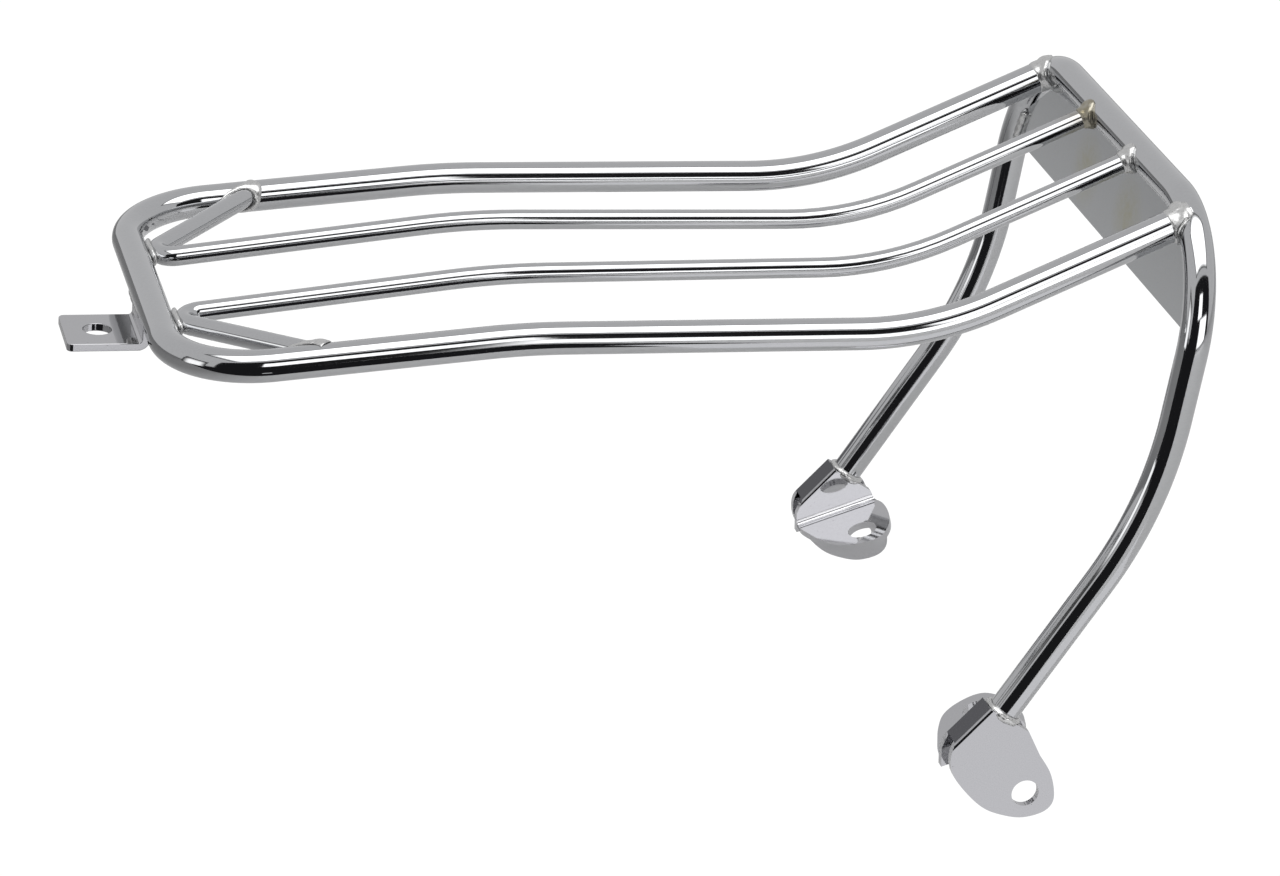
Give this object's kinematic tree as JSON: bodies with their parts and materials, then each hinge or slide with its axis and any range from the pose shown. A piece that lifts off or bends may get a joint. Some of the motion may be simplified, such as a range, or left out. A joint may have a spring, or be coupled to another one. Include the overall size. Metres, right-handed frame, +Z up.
{
  "type": "motorcycle luggage rack",
  "caption": "Chromed tube luggage rack with a rear hoop, a back plate, inner rods with hairpin braces, a front strap and folded side brackets with bolt holes.",
  "frame": {"origin": "centre of the bolt hole in the front strap, at the middle of the strap's thickness", "axes": "+X towards the rear of the motorcycle, +Y towards its right side, +Z up along the axis of the front strap's bolt hole; the flat part of the platform is level"},
  "size_m": [0.5435, 0.312, 0.3159],
  "materials": {
    "chrome": "polished chrome plating on steel",
    "weld": "chromed weld beads, slightly rough"
  },
  "bodies": {
    "root": {"outer_frame": "chrome", "inner_rod_left": "chrome", "inner_rod_right": "chrome", "rear_hoop": "chrome", "back_plate": "chrome", "front_strap": "chrome", "side_bracket_left": "chrome", "side_bracket_right": "chrome", "weld_rail_left": "weld", "weld_rail_right": "weld", "weld_rod_left": "weld", "weld_rod_right": "weld", "weld_hairpin_left": "weld", "weld_hairpin_right": "weld", "weld_brace_left": "weld", "weld_brace_right": "weld", "weld_plate_left": "weld", "weld_plate_right": "weld", "weld_strap": "weld", "weld_bracket_left": "weld", "weld_bracket_right": "weld"}
  },
  "joints": []
}
